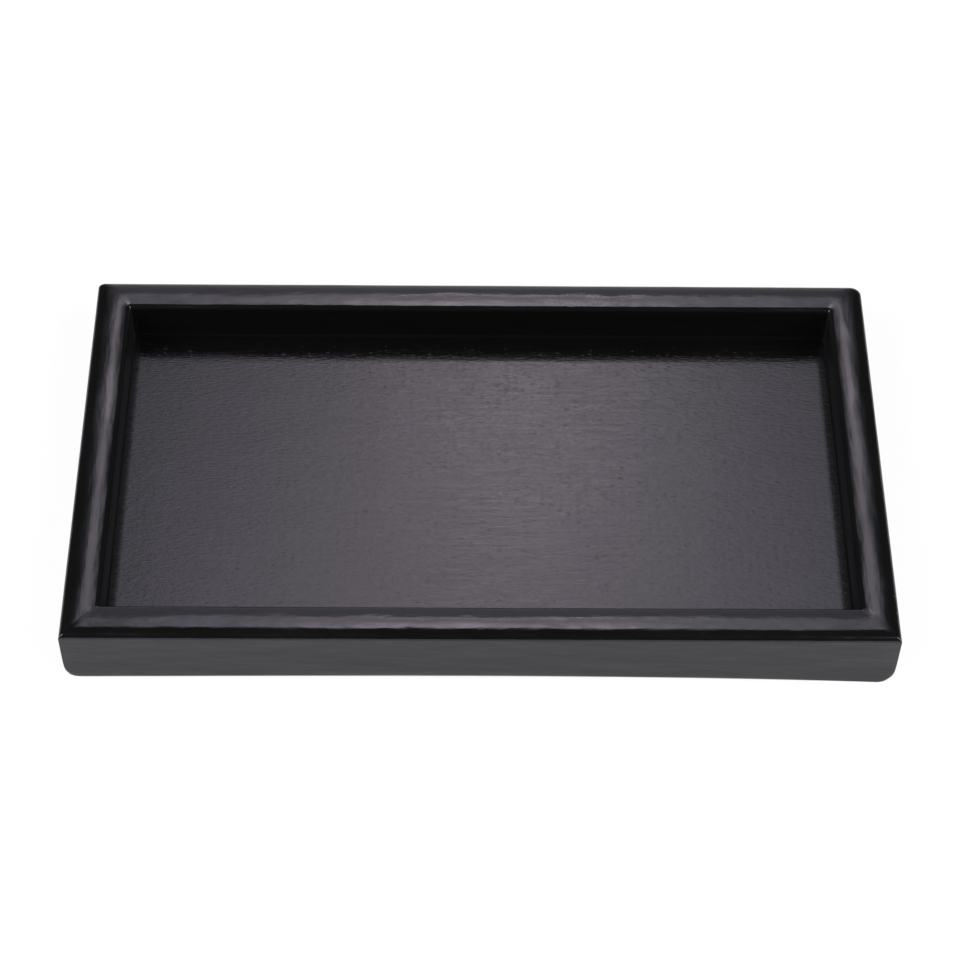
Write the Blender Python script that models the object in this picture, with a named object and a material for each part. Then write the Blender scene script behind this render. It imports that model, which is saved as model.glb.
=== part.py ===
"""A black lacquered wooden tea tray.

Four crowned rails meet in mitred corners and hold a floor panel in a groove. A thin spline
is glued up into each mitre from below. The tray stands on the undersides of its rails.
The origin is at the middle of the footprint, on the surface that the tray stands on.
"""

from math import asin, atan2, cos, pi, sin, sqrt

import bmesh
import bpy
from mathutils import Matrix

# Outer size, over the flat faces of the rails
TRAY_WIDTH = 0.2700
TRAY_DEPTH = 0.1520

# Rail moulding
RAIL_THICKNESS = 0.0125
FACE_HEIGHT = 0.0240
FOOT_RADIUS = 0.0038
INNER_FOOT_RADIUS = 0.0010
CORNER_RADIUS = 0.0012

# Crown of the moulding: its rise over the outer face, its flat crest, the shoulder that falls
# away to the outer face and the rounded inner edge. Places are from the outer face.
CROWN_RISE = 0.0020
CREST_PLACE = 0.0070
CREST_RADIUS = 0.0200
SHOULDER_PLACE = 0.0040
INNER_EDGE_RADIUS = 0.0022

# Floor panel, with a tongue along its lower edges
FLOOR_HEIGHT = 0.0106
PANEL_THICKNESS = 0.0050
TONGUE_THICKNESS = 0.0030
GROOVE_DEPTH = 0.0045

# Corner splines, set across each mitre
SPLINE_THICKNESS = 0.0020
SPLINE_WIDTH = 0.0070
SPLINE_TOP = 0.0180
SPLINE_FOOT = 0.0005
SPLINE_PLACE_SHARE = 0.70

# Gap between pieces that touch, and how far a cut runs past the wood
FIT_GAP = 0.0003
CUT_OVERRUN = 0.0020

# Segments of the round stretches, and the distance at which loose caps are welded
CREST_STEPS = 5
SHOULDER_STEPS = 12
INNER_EDGE_STEPS = 10
FOOT_STEPS = 8
EASE_STEPS = 4
CORNER_STEPS = 4
WELD_DISTANCE = 0.00001

# Linear colour, roughness and metallic value of each finish
LACQUER = ((0.0060, 0.0060, 0.0068, 1.0), 0.22, 0.0)
SATIN_LACQUER = ((0.0075, 0.0072, 0.0080, 1.0), 0.34, 0.0)
BARE_BEECH = ((0.4200, 0.2700, 0.1500, 1.0), 0.65, 0.0)

# The rails by name, with the outer length that each spans, the distance of its outer face
# from the middle and its turn about +Z from the front, in quarter turns
RAILS = (
    ("front_rail", TRAY_WIDTH, TRAY_DEPTH / 2, 0),
    ("right_rail", TRAY_DEPTH, TRAY_WIDTH / 2, 1),
    ("back_rail", TRAY_WIDTH, TRAY_DEPTH / 2, 2),
    ("left_rail", TRAY_DEPTH, TRAY_WIDTH / 2, 3),
)

# The corners by name, with their sides of the middle along X and Y
CORNERS = (
    ("front_left", -1, -1),
    ("front_right", 1, -1),
    ("back_right", 1, 1),
    ("back_left", -1, 1),
)


def clear_scene():
    """Removes whatever the file holds."""
    for obj in list(bpy.data.objects):
        bpy.data.objects.remove(obj, do_unlink=True)


def new_collection(name):
    """A collection linked to the scene."""
    collection = bpy.data.collections.new(name)
    bpy.context.scene.collection.children.link(collection)
    return collection


def finish(name, values):
    """A Principled material from a colour, a roughness and a metallic value."""
    colour, roughness, metallic = values
    material = bpy.data.materials.new(name)
    material.use_nodes = True
    shader = material.node_tree.nodes["Principled BSDF"]
    shader.inputs["Base Color"].default_value = colour
    shader.inputs["Roughness"].default_value = roughness
    shader.inputs["Metallic"].default_value = metallic
    material.diffuse_color = colour
    return material


def arc(centre, radius, start, end, steps):
    """Points along an arc with both its ends, its angles counted from +X."""
    angles = [start + (end - start) * step / steps for step in range(steps + 1)]
    return [(centre[0] + radius * cos(a), centre[1] + radius * sin(a)) for a in angles]


def extruded(name, outline, length, collection):
    """A flat outline in X and Y, made solid over a length centred on Z."""
    curve = bpy.data.curves.new(name, "CURVE")
    curve.dimensions = "2D"
    curve.fill_mode = "BOTH"
    curve.extrude = length / 2
    spline = curve.splines.new("POLY")
    spline.points.add(len(outline) - 1)
    for point, (x, y) in zip(spline.points, outline):
        point.co = (x, y, 0, 1)
    spline.use_cyclic_u = True
    drawn = bpy.data.objects.new(name + "_outline", curve)
    bpy.context.scene.collection.objects.link(drawn)
    bpy.context.view_layer.update()
    evaluated = drawn.evaluated_get(bpy.context.evaluated_depsgraph_get())
    mesh = bpy.data.meshes.new_from_object(evaluated)
    mesh.name = name
    solid = bpy.data.objects.new(name, mesh)
    solid.matrix_world = drawn.matrix_world
    bpy.data.objects.remove(drawn, do_unlink=True)
    weld(mesh)
    collection.objects.link(solid)
    return solid


def weld(mesh):
    """Welds the loose caps of a filled outline and turns its faces outwards."""
    shape = bmesh.new()
    shape.from_mesh(mesh)
    bmesh.ops.remove_doubles(shape, verts=shape.verts, dist=WELD_DISTANCE)
    bmesh.ops.recalc_face_normals(shape, faces=shape.faces)
    shape.to_mesh(mesh)
    shape.free()


def move_mesh(obj, matrix):
    """Moves the mesh itself, so that the object keeps its place at the origin."""
    obj.data.transform(matrix)
    obj.data.update()


def cut(obj, cutter, operation="DIFFERENCE"):
    """Adds a Boolean with a cutter to an object."""
    modifier = obj.modifiers.new(cutter.name, "BOOLEAN")
    modifier.operation = operation
    modifier.solver = "EXACT"
    modifier.object = cutter


def hide_cutters(collection):
    """Keeps the cutters out of the render and draws them as wires."""
    for obj in collection.objects:
        obj.hide_render = True
        obj.display_type = "WIRE"


def groove_span():
    """Lower and upper height of the groove that holds the panel's tongue."""
    tongue_foot = FLOOR_HEIGHT - PANEL_THICKNESS
    return tongue_foot - FIT_GAP, tongue_foot + TONGUE_THICKNESS + FIT_GAP


def crown_outline():
    """Top of a rail's section, from the inner face over the crest to the outer face.

    Three arcs run into each other without a corner: the inner edge, the crest and the
    shoulder. The shoulder ends on the outer face and leaves a crisp edge there.
    """
    crest = (CREST_PLACE, FACE_HEIGHT + CROWN_RISE - CREST_RADIUS)
    inner_turn = asin((RAIL_THICKNESS - INNER_EDGE_RADIUS - CREST_PLACE)
                      / (CREST_RADIUS - INNER_EDGE_RADIUS))
    inner_reach = CREST_RADIUS - INNER_EDGE_RADIUS
    inner_edge = (crest[0] + inner_reach * sin(inner_turn),
                  crest[1] + inner_reach * cos(inner_turn))
    outer_turn = asin((CREST_PLACE - SHOULDER_PLACE) / CREST_RADIUS)
    shoulder_top = crest[1] + CREST_RADIUS * cos(outer_turn)
    fall = atan2(shoulder_top - FACE_HEIGHT, SHOULDER_PLACE)
    last_turn = 2 * fall - outer_turn
    shoulder_radius = SHOULDER_PLACE / (sin(last_turn) - sin(outer_turn))
    shoulder = (SHOULDER_PLACE + shoulder_radius * sin(outer_turn),
                shoulder_top - shoulder_radius * cos(outer_turn))
    points = arc(inner_edge, INNER_EDGE_RADIUS, 0, pi / 2 - inner_turn, INNER_EDGE_STEPS)
    points += arc(crest, CREST_RADIUS, pi / 2 - inner_turn, pi / 2, CREST_STEPS)[1:]
    points += arc(crest, CREST_RADIUS, pi / 2, pi / 2 + outer_turn, CREST_STEPS)[1:]
    points += arc(shoulder, shoulder_radius, pi / 2 + outer_turn, pi / 2 + last_turn,
                  SHOULDER_STEPS)[1:]
    return points


def rail_outline():
    """Section of a rail: X across from its outer face, Y up from its foot."""
    groove_foot, groove_top = groove_span()
    groove_back = RAIL_THICKNESS - GROOVE_DEPTH
    inner_foot = (RAIL_THICKNESS - INNER_FOOT_RADIUS, INNER_FOOT_RADIUS)
    points = arc((FOOT_RADIUS, FOOT_RADIUS), FOOT_RADIUS, pi, 3 * pi / 2, FOOT_STEPS)
    points += arc(inner_foot, INNER_FOOT_RADIUS, 3 * pi / 2, 2 * pi, EASE_STEPS)
    points += [(RAIL_THICKNESS, groove_foot), (groove_back, groove_foot)]
    points += [(groove_back, groove_top), (RAIL_THICKNESS, groove_top)]
    return points + crown_outline()


def mitre_outline(length, distance):
    """Plan of the wedge that a front rail keeps between its two mitres."""
    setback = FIT_GAP / sqrt(2)
    outer = length / 2 + CUT_OVERRUN - setback
    inner = length / 2 - RAIL_THICKNESS - CUT_OVERRUN - setback
    outer_y = -distance - CUT_OVERRUN
    inner_y = -distance + RAIL_THICKNESS + CUT_OVERRUN
    return [(-outer, outer_y), (outer, outer_y), (inner, inner_y), (-inner, inner_y)]


def build_rail(name, length, distance, quarter_turns, parts, cutters):
    """A rail of moulded stock, mitred at both ends and turned to its side of the tray."""
    turn = Matrix.Rotation(quarter_turns * pi / 2, 4, "Z")
    along_x = Matrix(((0, 0, 1, 0), (1, 0, 0, -distance), (0, 1, 0, 0), (0, 0, 0, 1)))
    rail = extruded(name, rail_outline(), length + 2 * CUT_OVERRUN, parts)
    move_mesh(rail, turn @ along_x)
    height = FACE_HEIGHT + CROWN_RISE
    wedge = extruded(name + "_mitres", mitre_outline(length, distance),
                     height + 2 * CUT_OVERRUN, cutters)
    move_mesh(wedge, turn @ Matrix.Translation((0, 0, height / 2)))
    cut(rail, wedge, "INTERSECT")
    return rail


def corner_frame(side_x, side_y):
    """Frame of a corner: origin on its outer edge at the foot, X along the mitre, inwards."""
    inwards = atan2(-side_y, -side_x)
    place = Matrix.Translation((side_x * TRAY_WIDTH / 2, side_y * TRAY_DEPTH / 2, 0))
    return place @ Matrix.Rotation(inwards, 4, "Z")


def box_across_mitre(name, frame, margin, foot, top, collection):
    """A box set across a mitre, as large as the spline with a margin on its four sides."""
    mitre_wood = (RAIL_THICKNESS - GROOVE_DEPTH) * sqrt(2)
    middle = mitre_wood * SPLINE_PLACE_SHARE
    mesh = bpy.data.meshes.new(name)
    shape = bmesh.new()
    bmesh.ops.create_cube(shape, size=1)
    size = (SPLINE_THICKNESS + 2 * margin, SPLINE_WIDTH + 2 * margin, top - foot)
    bmesh.ops.scale(shape, vec=size, verts=shape.verts)
    bmesh.ops.translate(shape, vec=(middle, 0, (top + foot) / 2), verts=shape.verts)
    shape.to_mesh(mesh)
    shape.free()
    box = bpy.data.objects.new(name, mesh)
    collection.objects.link(box)
    move_mesh(box, frame)
    return box


def corner_outline():
    """Plan of the sliver that eases a corner, with the corner's tip at the origin.

    Its X and Y run inwards along the two outer faces.
    """
    hollow = arc((CORNER_RADIUS, CORNER_RADIUS), CORNER_RADIUS, 3 * pi / 2, pi, CORNER_STEPS)
    return [(-CUT_OVERRUN, -CUT_OVERRUN), (CORNER_RADIUS, -CUT_OVERRUN)] + hollow + [
        (-CUT_OVERRUN, CORNER_RADIUS)]


def build_corner(name, side_x, side_y, rails, parts, cutters):
    """A corner's spline, the slot for it in both rails, and the eased outer edge."""
    frame = corner_frame(side_x, side_y)
    spline = box_across_mitre(name + "_spline", frame, 0, SPLINE_FOOT, SPLINE_TOP, parts)
    slot = box_across_mitre(name + "_slot", frame, FIT_GAP, -CUT_OVERRUN,
                            SPLINE_TOP + FIT_GAP, cutters)
    height = FACE_HEIGHT + CROWN_RISE
    ease = extruded(name + "_ease", corner_outline(), height + 2 * CUT_OVERRUN, cutters)
    centred = Matrix.Rotation(-pi / 4, 4, "Z")
    move_mesh(ease, frame @ centred @ Matrix.Translation((0, 0, height / 2)))
    for rail in rails:
        cut(rail, slot)
        cut(rail, ease)
    return spline


def build_panel(parts):
    """The floor panel: a board whose raised field stands inside the rails."""
    groove_reach = 2 * (GROOVE_DEPTH - FIT_GAP)
    opening = (TRAY_WIDTH - 2 * RAIL_THICKNESS, TRAY_DEPTH - 2 * RAIL_THICKNESS)
    board = (opening[0] + groove_reach, opening[1] + groove_reach, TONGUE_THICKNESS)
    shape = bmesh.new()
    bmesh.ops.create_cube(shape, size=1)
    bmesh.ops.scale(shape, vec=board, verts=shape.verts)
    foot = FLOOR_HEIGHT - PANEL_THICKNESS
    bmesh.ops.translate(shape, vec=(0, 0, foot + TONGUE_THICKNESS / 2), verts=shape.verts)
    top = [face for face in shape.faces if face.normal.z > 0.5]
    bmesh.ops.inset_region(shape, faces=top, thickness=GROOVE_DEPTH, use_even_offset=True)
    field = bmesh.ops.extrude_face_region(shape, geom=top)
    raised = [item for item in field["geom"] if isinstance(item, bmesh.types.BMVert)]
    bmesh.ops.translate(shape, vec=(0, 0, PANEL_THICKNESS - TONGUE_THICKNESS), verts=raised)
    bmesh.ops.delete(shape, geom=top, context="FACES_ONLY")
    mesh = bpy.data.meshes.new("floor_panel")
    shape.to_mesh(mesh)
    shape.free()
    panel = bpy.data.objects.new("floor_panel", mesh)
    parts.objects.link(panel)
    return panel


def build_tray():
    """Builds every piece of the tray and gives each its own finish."""
    clear_scene()
    parts = new_collection("tea_tray")
    cutters = new_collection("cutters")
    rails = {name: build_rail(name, length, distance, turns, parts, cutters)
             for name, length, distance, turns in RAILS}
    for name, side_x, side_y in CORNERS:
        across = rails["front_rail" if side_y < 0 else "back_rail"]
        along = rails["left_rail" if side_x < 0 else "right_rail"]
        spline = build_corner(name, side_x, side_y, (across, along), parts, cutters)
        spline.data.materials.append(finish(spline.name, BARE_BEECH))
    for rail in rails.values():
        rail.data.materials.append(finish(rail.name, LACQUER))
    panel = build_panel(parts)
    panel.data.materials.append(finish(panel.name, SATIN_LACQUER))
    hide_cutters(cutters)


build_tray()
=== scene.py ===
"""Finish, light and camera for a black lacquered wooden tea tray.

Each step is an operator, and the sizes and colours that a user would change are properties
in the sidebar. Sizes are in metres, in the frame of the tray: +X along its length, +Y from
front to back, +Z up, with the table at zero.
"""

from math import asin, atan2, cos, pi, radians, sin

import bmesh
import bpy
import numpy as np
from mathutils import Matrix, Vector, noise


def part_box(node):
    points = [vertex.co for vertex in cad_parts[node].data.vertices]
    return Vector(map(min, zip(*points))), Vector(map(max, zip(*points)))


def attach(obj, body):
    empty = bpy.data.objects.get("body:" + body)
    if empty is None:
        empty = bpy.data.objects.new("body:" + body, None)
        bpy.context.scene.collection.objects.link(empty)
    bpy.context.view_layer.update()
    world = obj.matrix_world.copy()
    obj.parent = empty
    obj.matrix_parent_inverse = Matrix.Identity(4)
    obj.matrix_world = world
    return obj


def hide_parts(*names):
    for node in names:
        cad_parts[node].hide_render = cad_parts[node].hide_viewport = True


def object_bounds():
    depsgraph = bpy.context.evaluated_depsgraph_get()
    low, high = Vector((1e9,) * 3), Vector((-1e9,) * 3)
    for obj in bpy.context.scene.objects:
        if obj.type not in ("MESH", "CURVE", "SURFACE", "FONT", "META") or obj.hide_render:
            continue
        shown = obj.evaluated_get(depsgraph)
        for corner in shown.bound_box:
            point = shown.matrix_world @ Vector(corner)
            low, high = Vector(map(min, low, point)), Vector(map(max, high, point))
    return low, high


bl_info = {
    "name": "Lacquered Tea Tray",
    "version": (1, 0, 0),
    "blender": (4, 5, 0),
    "location": "3D View > Sidebar > Tea Tray",
    "description": "Builds the finish, light and camera of a black lacquered tea tray",
    "category": "Object",
}

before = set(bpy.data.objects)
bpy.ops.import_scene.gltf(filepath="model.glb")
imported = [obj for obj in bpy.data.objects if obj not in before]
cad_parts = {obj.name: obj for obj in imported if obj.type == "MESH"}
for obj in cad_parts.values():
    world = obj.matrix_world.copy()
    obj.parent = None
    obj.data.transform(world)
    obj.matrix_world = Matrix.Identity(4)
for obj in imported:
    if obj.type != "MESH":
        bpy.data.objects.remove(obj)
CAD_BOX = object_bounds()
BODY = "root"

# A vertex counts as lying on a plane within this distance, and a point is told from the next by
# this many decimals
ON_PLANE = 0.00002
PLACE_DIGITS = 7

# How much rounder the lacquered foot is than the solid's
FOOT_ROUNDING = 1.2

# Bead of lacquer round the floor: its height above the floor, its rise over its width, and how
# far its edges are turned
BEAD_LIFT = 0.00002
BEAD_SLOPE = 2.5
LIP_WIDTH = 0.000003

# Steps along the parts of a rail's section, in the order in which it runs round the wood
FOOT_STEPS = 10
UNDERSIDE_STEPS = 6
INNER_FOOT_STEPS = 4
WALL_STEPS = 8
BEND_STEPS = 14
CREST_STEPS = 16
EASE_STEPS = 8
FACE_STEPS = 10

# How fast the rounding of an outer corner shrinks from the foot up
CORNER_FALL_POWER = 8

# Soft waves that hand sanding leaves, a slow and a quick one: the scale of each, and its share
# of the wave depth
SLOW_WAVE_SCALE = 45.0
SLOW_WAVE_SHARE = 0.45
QUICK_WAVE_SCALE = 140.0
QUICK_WAVE_SHARE = 0.13
QUICK_WAVE_SHIFT = Vector((7.0, 3.0, 5.0))

# The rails in the order in which the ring passes them, the steps of each half corner, and the
# distance between stations along a rail
RING_ORDER = ("front_rail", "right_rail", "back_rail", "left_rail")
CORNER_STEPS = 8
STATION_STEP = 0.0025

# How far the cutter of a spline's slot runs past the underside
SLOT_OVERRUN = 0.001

# Facets across the eased edges of the floor and the splines
SOFT_EDGE_FACETS = 3

# A face is a cut one where its direction and the moulding's have a smaller cosine than this
CUT_FACE_COSINE = 0.5

# Grain, in cells of one fibre: how the fibres drift, the distances from a pore's middle at
# which it begins and is fully open, and how the streaks stretch
DRIFT_NOISE = {"Scale": 0.35, "Detail": 2.0}
DRIFT_REACH = (0.12, 1.0, 1.0)
FIBRE_NOISE = {"Scale": 1.0, "Detail": 2.0, "Roughness": 0.6}
PORE_REACHES = (0.38, 0.10)
STREAK_NOISE = {"Scale": 1.0, "Detail": 4.0, "Roughness": 0.6}
STREAK_STRETCH = (0.12, 0.45, 0.45)

# How the waves of the film stretch along the brush, and how rough they and the peel are
BRUSH_STRETCH = (0.3, 1.0, 1.0)
WAVE_NOISE = {"Detail": 2.0, "Roughness": 0.45}
PEEL_NOISE = {"Detail": 1.0}

# Dust: the smallest speck and the range above it, as shares of the spacing, and how far up a
# face looks where dust begins and where it lies in full
SPECK_SHARE = 0.025
SPECK_RANGE_SHARE = 0.07
DUST_SLOPES = (0.2, 0.8)

# How much wider the floor's border is at its right end than in the middle
BORDER_WIDENING_SHARE = 0.15

# The middle part of a pattern, over which a finish goes from gloss to matt
PATTERN_MIDDLE = (0.3, 0.7)

# Both lacquers: the clear film over the black, and the dust that lies on it
FILM_IOR = 1.53
FILM_TINT = (0.90, 0.885, 1.0, 1.0)
DUST_COLOUR = (0.12, 0.115, 0.11, 1.0)
DUST_STRENGTH = 0.25

# Lacquer on the rails. Matt is what a thing adds to the roughness, and height is what it adds
# to the relief, as a share of its depth.
RAIL_GRAIN = {"Fibre Length": 0.0045, "Fibre Width": 0.0007, "Share": 0.2}
RAIL_FILM = {"Wave Length": 0.006, "Peel Size": 0.0011, "Peel Share": 0.03}
RAIL_DUST = {"Spacing": 0.007, "Share": 0.2}
RAIL_WALL_REACH = 0.0014
MITRE_LINE_WIDTH = 0.00022
RAIL_WEAR = 1.8
RAIL_GLOSS_SPAN = (-0.03, 0.04)
SHORT_RAIL_MATT = 0.05
SHORT_WALL_MATT = 0.22
RAIL_DUST_MATT = 0.3
RAIL_FIBRE_HEIGHT = 0.09
RAIL_PORE_HEIGHT = -0.03
MITRE_LINE_HEIGHT = -0.03
RAIL_RELIEF_DEPTH = 0.0003

# Lacquer on the floor, in the same terms
FLOOR_GRAIN = {"Fibre Length": 0.0030, "Fibre Width": 0.0006, "Share": 0.6}
FLOOR_FILM = {"Wave Length": 0.014, "Peel Size": 0.0009, "Peel Share": 0.08}
FLOOR_DUST = {"Spacing": 0.006, "Share": 0.18}
FLOOR_WEAR = 1.7
FLOOR_GLOSS_SPAN = (-0.025, 0.035)
FLOOR_WALL_MATT = 0.16
FLOOR_PORE_MATT = 0.10
FLOOR_PORE_HEIGHT = -0.45
FLOOR_FILM_HEIGHT = 1.8

# Bare wood of the splines
SPLINE_GRAIN = {"Fibre Length": 0.0016, "Fibre Width": 0.00025, "Share": 0.5}
SPLINE_SHADE = 0.55
SPLINE_FLECK = 0.6
SPLINE_GLOSS_SPAN = (-0.05, 0.08)
SPLINE_PORE_DEPTH = 0.00003

WHITE = (1.0, 1.0, 1.0, 1.0)

# Table under the tray, and between which distances its glow grows to plain white
TABLE_REACH = 6.0
TABLE_DROP = 0.0002
TABLE_COLOUR = (0.86, 0.86, 0.87, 1.0)
TABLE_ROUGHNESS = 0.8
SHADOW_COLOUR = (0.18, 0.18, 0.18, 1.0)
NEAR_GLOW = 0.86
GLOW_REACHES = (0.25, 0.75)

# Width of the camera's sensor in millimetres
SENSOR_WIDTH = 36.0

# The two lamps beside the camera: their size, and the place of the right one
FILL_SIZE = 1.2
FILL_PLACE = (1.10, -0.75, 1.0)

# Soft box behind the tray. Heights are degrees over the horizon there, and places to the side
# are slopes from the middle.
BOX_FOOT = (47.8, 49.2)
BOX_TOP = (83.0, 75.0)
BOX_LEFT_END = (-0.18, -0.125)
BOX_MIDDLE_HEIGHTS = (49.5, 54.0)
BOX_MIDDLE_PLACES = (0.021, 0.008)
BOX_SPREAD_HEIGHTS = (47.0, 55.0)
BOX_FOOT_SPREAD_SHARE = 0.54
BOX_PEAK_SHARE = 0.745

# Its bright core, which has a low and a high part
CORE_MIDDLE_HEIGHTS = (52.0, 57.0)
CORE_MIDDLE_PLACES = (0.024, 0.010)
CORE_SPREAD = 0.07
LOW_CORE_HEIGHTS = (52.0, 49.4)
HIGH_CORE_HEIGHTS = (57.0, 70.0)

# Backdrop under the soft box, and the tints of the light
BACKDROP_FOOT = (0.0, 2.0)
BACKDROP_SPREAD = 0.40
WARM_SPREAD = 0.12
COOL_TINT = (0.985, 0.972, 1.03, 1.0)
WARM_TINT = (1.065, 0.945, 0.965, 1.0)


def heights_on(node, axis, place):
    """Heights of a node's vertices that lie at a place along an axis, lowest first."""
    points = [vertex.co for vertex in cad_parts[node].data.vertices]
    return sorted(point.z for point in points if abs(point[axis] - place) < ON_PLANE)


def highest_place(node, axis):
    """Place along an axis at which a node is highest."""
    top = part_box(node)[1].z
    points = [vertex.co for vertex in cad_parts[node].data.vertices]
    return min(point[axis] for point in points if top - point.z < ON_PLANE)


# Sizes read from the frame
HALF_LENGTH = CAD_BOX[1].x
HALF_DEPTH = CAD_BOX[1].y
RIM_HEIGHT = CAD_BOX[1].z
LEFT_RAIL_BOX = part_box("left_rail")
RAIL_THICKNESS = LEFT_RAIL_BOX[1].x - LEFT_RAIL_BOX[0].x
OUTER_HEIGHTS = heights_on("front_rail", 1, -HALF_DEPTH)
INNER_HEIGHTS = heights_on("front_rail", 1, RAIL_THICKNESS - HALF_DEPTH)
PANEL_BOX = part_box("floor_panel")
FLOOR_HEIGHT = PANEL_BOX[1].z
GROOVE_FOOT = max(z for z in INNER_HEIGHTS if z < PANEL_BOX[0].z)
GROOVE_TOP = min(z for z in INNER_HEIGHTS if z > PANEL_BOX[0].z)
FIT_GAP = PANEL_BOX[0].z - GROOVE_FOOT
GROOVE_BACK = HALF_LENGTH - PANEL_BOX[1].x - FIT_GAP
CREST_PLACE = highest_place("front_rail", 1) + HALF_DEPTH


class RimSettings(bpy.types.PropertyGroup):
    """Sizes and lacquer of the four rails."""

    foot_radius: bpy.props.FloatProperty(
        name="Foot Radius", description="Rounding of the lower outer edge, halfway along a rail",
        default=FOOT_ROUNDING * OUTER_HEIGHTS[0], min=0.0005, unit="LENGTH")
    face_height: bpy.props.FloatProperty(
        name="Face Height", description="Height of the outer face, up to the crown's edge",
        default=OUTER_HEIGHTS[-1], min=0.005, unit="LENGTH")
    inner_foot_radius: bpy.props.FloatProperty(
        name="Inner Foot Radius", description="Rounding of the lower inner edge",
        default=INNER_HEIGHTS[0], min=0.0002, unit="LENGTH")
    wall_height: bpy.props.FloatProperty(
        name="Wall Height", description="Height at which the inner wall turns into the crown",
        default=INNER_HEIGHTS[-1], min=0.005, unit="LENGTH")
    crest_place: bpy.props.FloatProperty(
        name="Crest Place", description="Distance of the crest from the outer face",
        default=CREST_PLACE, min=0.001, unit="LENGTH")
    crest_radius: bpy.props.FloatProperty(
        name="Crest Radius", description="Radius of the crown over its crest",
        default=0.020, min=0.008, unit="LENGTH")
    shoulder_place: bpy.props.FloatProperty(
        name="Shoulder Place", description="Where the crown bends down to the outer face",
        default=0.0040, min=0.001, unit="LENGTH")
    edge_ease: bpy.props.FloatProperty(
        name="Edge Ease", description="How far lacquer rounds the edge over the outer face",
        default=0.0010, min=0.0001, unit="LENGTH")
    bead: bpy.props.FloatProperty(
        name="Lacquer Bead", description="Width of the bead of lacquer round the floor",
        default=0.0004, min=0.0001, unit="LENGTH")
    foot_corner_radii: bpy.props.FloatVectorProperty(
        name="Foot Radii at Corners", description="Rounding of the lower outer edge at each "
        "corner, from the front left one round by the right",
        default=(0.0030, 0.0008, 0.0030, 0.0030), size=4, min=0.0002, unit="LENGTH")
    top_corner_radii: bpy.props.FloatVectorProperty(
        name="Top Corner Radii", description="Rounding of each outer corner under the crown",
        default=(0.00012, 0.00012, 0.0034, 0.0018), size=4, min=0.0001, unit="LENGTH")
    low_corner_radii: bpy.props.FloatVectorProperty(
        name="Low Corner Radii", description="Rounding of each outer corner at the foot",
        default=(0.0080, 0.0060, 0.0040, 0.0040), size=4, min=0.0001, unit="LENGTH")
    inner_corner_radii: bpy.props.FloatVectorProperty(
        name="Inner Corner Radii", description="Rounding between the inner walls at each corner",
        default=(0.00015, 0.00015, 0.00015, 0.00015), size=4, min=0.0001, unit="LENGTH")
    crest_corner_radius: bpy.props.FloatProperty(
        name="Crest Corner Radius", description="How much more the crest is rounded at a corner",
        default=0.0030, min=0.0, unit="LENGTH")
    wave_depth: bpy.props.FloatProperty(
        name="Wave Depth", description="Depth of the soft waves that hand sanding leaves",
        default=0.00012, min=0.0, unit="LENGTH")
    colour: bpy.props.FloatVectorProperty(
        name="Lacquer Colour", description="Body colour of the black lacquer",
        default=(0.0023, 0.0023, 0.0023), subtype="COLOR", size=3, min=0.0, max=1.0)
    roughness: bpy.props.FloatProperty(
        name="Roughness", description="Mean roughness of the rim's lacquer",
        default=0.14, min=0.0, max=1.0, subtype="FACTOR")


class FloorSettings(bpy.types.PropertyGroup):
    """Lacquer of the floor panel."""

    edge_ease: bpy.props.FloatProperty(
        name="Edge Ease", description="Rounding of the panel's edges",
        default=0.00025, min=0.0, unit="LENGTH")
    colour: bpy.props.FloatVectorProperty(
        name="Lacquer Colour", description="Body colour of the floor's lacquer",
        default=(0.0025, 0.0024, 0.0025), subtype="COLOR", size=3, min=0.0, max=1.0)
    roughness: bpy.props.FloatProperty(
        name="Roughness", description="Mean roughness of the floor's lacquer",
        default=0.145, min=0.0, max=1.0, subtype="FACTOR")
    grain_depth: bpy.props.FloatProperty(
        name="Grain Depth", description="Depth of the grain that shows through the lacquer",
        default=0.000043, min=0.0, unit="LENGTH")
    border_width: bpy.props.FloatProperty(
        name="Border Width", description="Width of the border that falls off to the walls",
        default=0.0038, min=0.0005, unit="LENGTH")
    border_fall: bpy.props.FloatProperty(
        name="Border Fall", description="How far that border falls",
        default=0.00020, min=0.0, unit="LENGTH")


class SplineSettings(bpy.types.PropertyGroup):
    """Wood of the splines in the mitres."""

    colour: bpy.props.FloatVectorProperty(
        name="Wood Colour", description="Colour of the bare wood",
        default=(0.42, 0.27, 0.15), subtype="COLOR", size=3, min=0.0, max=1.0)
    roughness: bpy.props.FloatProperty(
        name="Roughness", description="Mean roughness of the bare wood",
        default=0.65, min=0.0, max=1.0, subtype="FACTOR")


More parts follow.
